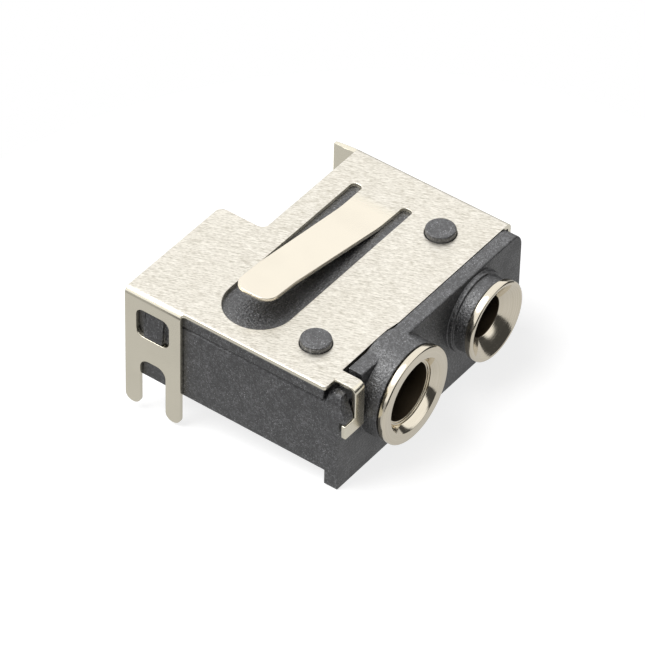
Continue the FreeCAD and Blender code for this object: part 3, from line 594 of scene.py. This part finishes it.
class SocketStudio(PropertyGroup):
    azimuth: FloatProperty(name="Azimuth", description="Camera's turn about Z",
                           default=math.radians(-54.22), subtype="ANGLE")
    elevation: FloatProperty(name="Elevation", description="Camera's height above the horizon",
                             default=math.radians(41.97), subtype="ANGLE")
    roll: FloatProperty(name="Roll", description="Camera's turn about its own axis",
                        default=math.radians(1.48), subtype="ANGLE")
    distance: length("Distance", "Camera to the point it looks at", 284.0)
    target: FloatVectorProperty(name="Target", description="Point that the camera looks at",
                                default=(2.536 * MM, 6.660 * MM, -0.946 * MM),
                                subtype="TRANSLATION")
    lens: FloatProperty(name="Lens", description="Focal length in millimetres", default=282.6)
    key_power: FloatProperty(name="Key", description="Power of the softbox overhead",
                             default=1.0, unit="POWER")
    key_direction: FloatVectorProperty(name="Key direction", description="Way to the softbox",
                                       default=(-0.28, 0.43, 0.855), subtype="DIRECTION")
    key_glare: FloatProperty(name="Key glare", description="Brightness of the softbox in "
                             "reflections, besides the room's", default=3.0)
    key_size: length("Key size", "Diameter of that softbox", 260.0)
    key_distance: length("Key distance", "Softbox to the point the camera looks at", 300.0)
    ambient: FloatProperty(name="Ambient", description="Light of the white room", default=0.16)
    room: FloatProperty(name="Room", description="Brightness of the room's upper part in "
                        "reflections", default=1.05)
    horizon: FloatProperty(name="Horizon", description="Brightness of the room's low front part "
                           "in reflections", default=0.06)
    far_horizon: FloatProperty(name="Far horizon", description="Brightness of the room's low "
                               "back part in reflections", default=0.4)
    paper_radius: length("Paper radius", "Radius of the paper floor", 30.0)
    paper: FloatProperty(name="Paper", description="Shade of the paper as a light", default=0.36)
    paper_mirrored: FloatProperty(name="Paper mirrored", description="Shade of the paper in "
                                  "reflections, besides its glow", default=0.08)
    paper_seen: FloatProperty(name="Paper seen", description="Brightness of the paper to the "
                              "eye, besides its shade", default=0.8)
    paper_glow: FloatProperty(name="Paper glow", description="Brightness of the paper in "
                              "reflections, besides its shade", default=0.56)
    paper_back: FloatProperty(name="Paper back", description="How much of that glow the paper has "
                              "behind the front wall", default=0.86)


# Operators

class SocketOperator:
    """What the operators share."""
    bl_options = {"REGISTER", "UNDO"}


class SOCKET_OT_moulding(SocketOperator, Operator):
    """Rounds the edges of the housing and its lid and finishes them in black plastic"""
    bl_idname = "socket.finish_moulding"
    bl_label = "Finish the moulding"

    def execute(self, context):
        settings = context.scene.socket_finish
        material = moulding_material(settings)

        def seated(point):
            """Whether a point is on the seam or on the rim's back, which the plate meets."""
            return abs(point.z - SEAM) < ON_SEAM or abs(point.y - settings.rim_depth) < ON_RIM

        for node in ("housing", "lid"):
            form = softened(node, MOULDING_MERGE, settings.moulding_round, seated)
            add_piece(context, f"{node}_moulding", form, node, material, SHARP)
        return {"FINISHED"}


class SOCKET_OT_sheet(SocketOperator, Operator):
    """Rounds the cut edges of the folded shield and finishes it in brushed nickel"""
    bl_idname = "socket.finish_sheet"
    bl_label = "Finish the shield"

    def execute(self, context):
        settings = context.scene.socket_finish

        def facing_rim(point):
            """Whether a point is on the plate's front edge, close behind the rim."""
            return (settings.rim_depth < point.y < 2 * settings.rim_depth
                    and point.z > SEAM and point.x > 0.0)

        form = softened("shield", SHEET_MERGE, settings.sheet_round, facing_rim)
        add_piece(context, "folded_shield", form, "shield",
                  sheet_material(settings), SHARP)
        return {"FINISHED"}


class SOCKET_OT_barrels(SocketOperator, Operator):
    """Turns both barrels and finishes them in bright nickel"""
    bl_idname = "socket.finish_barrels"
    bl_label = "Turn the barrels"

    def execute(self, context):
        sizes = context.scene.socket_barrels
        for node, bore, mouth, depth, ring, steps in (
                ("large_barrel", sizes.large_bore, sizes.large_mouth, sizes.large_depth,
                 sizes.large_ring, LARGE_STEPS),
                ("small_barrel", sizes.small_bore, sizes.small_mouth, sizes.small_depth,
                 sizes.small_ring, 0)):
            low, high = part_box(node)
            reach, radius, outer = high.y - low.y, (high.x - low.x) / 2, bore + sizes.wall
            profile = [(bore, reach), (bore, depth)]
            for count in range(1, steps + 1):
                edge = bore + count * sizes.step
                profile += [(edge, depth - (count - 1) * sizes.step_depth),
                            (edge, depth - count * sizes.step_depth)]
            profile += [(mouth, 0.0), (radius - sizes.ring_chamfer, 0.0),
                        (radius, sizes.ring_chamfer), (radius, ring),
                        (outer + sizes.groove_step, ring),
                        (outer + sizes.groove_step, ring + sizes.groove),
                        (outer, ring + sizes.groove), (outer, reach)]
            material = turned_material(context.scene.socket_finish, node, bore)
            add_piece(context, f"turned_{node}", turned(node, profile, sizes.edge_round), node,
                      material, TURNED_SHARP)
        return {"FINISHED"}


class SOCKET_OT_contacts(SocketOperator, Operator):
    """Finishes the contact strips and terminals in plated bronze"""
    bl_idname = "socket.finish_contacts"
    bl_label = "Finish the contacts"

    def execute(self, context):
        paint(CONTACTS, contact_material(context.scene.socket_finish))
        return {"FINISHED"}


class SOCKET_OT_studio(SocketOperator, Operator):
    """Sets the paper floor, the softbox, the white room and the camera"""
    bl_idname = "socket.set_studio"
    bl_label = "Set the studio"

    def execute(self, context):
        studio = context.scene.socket_studio
        context.scene.view_settings.view_transform = "Standard"
        set_world(context, studio)
        add_floor(context, studio)
        add_softbox(context, studio)
        add_camera(context, studio)
        return {"FINISHED"}


OPERATORS = (SOCKET_OT_moulding, SOCKET_OT_sheet, SOCKET_OT_barrels, SOCKET_OT_contacts,
             SOCKET_OT_studio)
SETTINGS = {"socket_finish": SocketFinish, "socket_barrels": SocketBarrels,
            "socket_studio": SocketStudio}


class SOCKET_PT_panel(Panel):
    """The socket's finishes, barrels and studio"""
    bl_label = "Twin audio socket"
    bl_idname = "SOCKET_PT_panel"
    bl_space_type = "VIEW_3D"
    bl_region_type = "UI"
    bl_category = "Socket"

    def draw(self, context):
        for operator in OPERATORS:
            self.layout.operator(operator.bl_idname)
        for name, group in SETTINGS.items():
            for setting in group.__annotations__:
                self.layout.prop(getattr(context.scene, name), setting)


CLASSES = (*SETTINGS.values(), *OPERATORS, SOCKET_PT_panel)


def register():
    for cls in CLASSES:
        bpy.utils.register_class(cls)
    for name, group in SETTINGS.items():
        setattr(bpy.types.Scene, name, PointerProperty(type=group))


def unregister():
    for name in SETTINGS:
        delattr(bpy.types.Scene, name)
    for cls in reversed(CLASSES):
        bpy.utils.unregister_class(cls)


def main():
    register()
    bpy.ops.socket.set_studio()
    bpy.ops.socket.finish_moulding()
    bpy.ops.socket.finish_sheet()
    bpy.ops.socket.finish_barrels()
    bpy.ops.socket.finish_contacts()


if __name__ == "__main__":
    main()
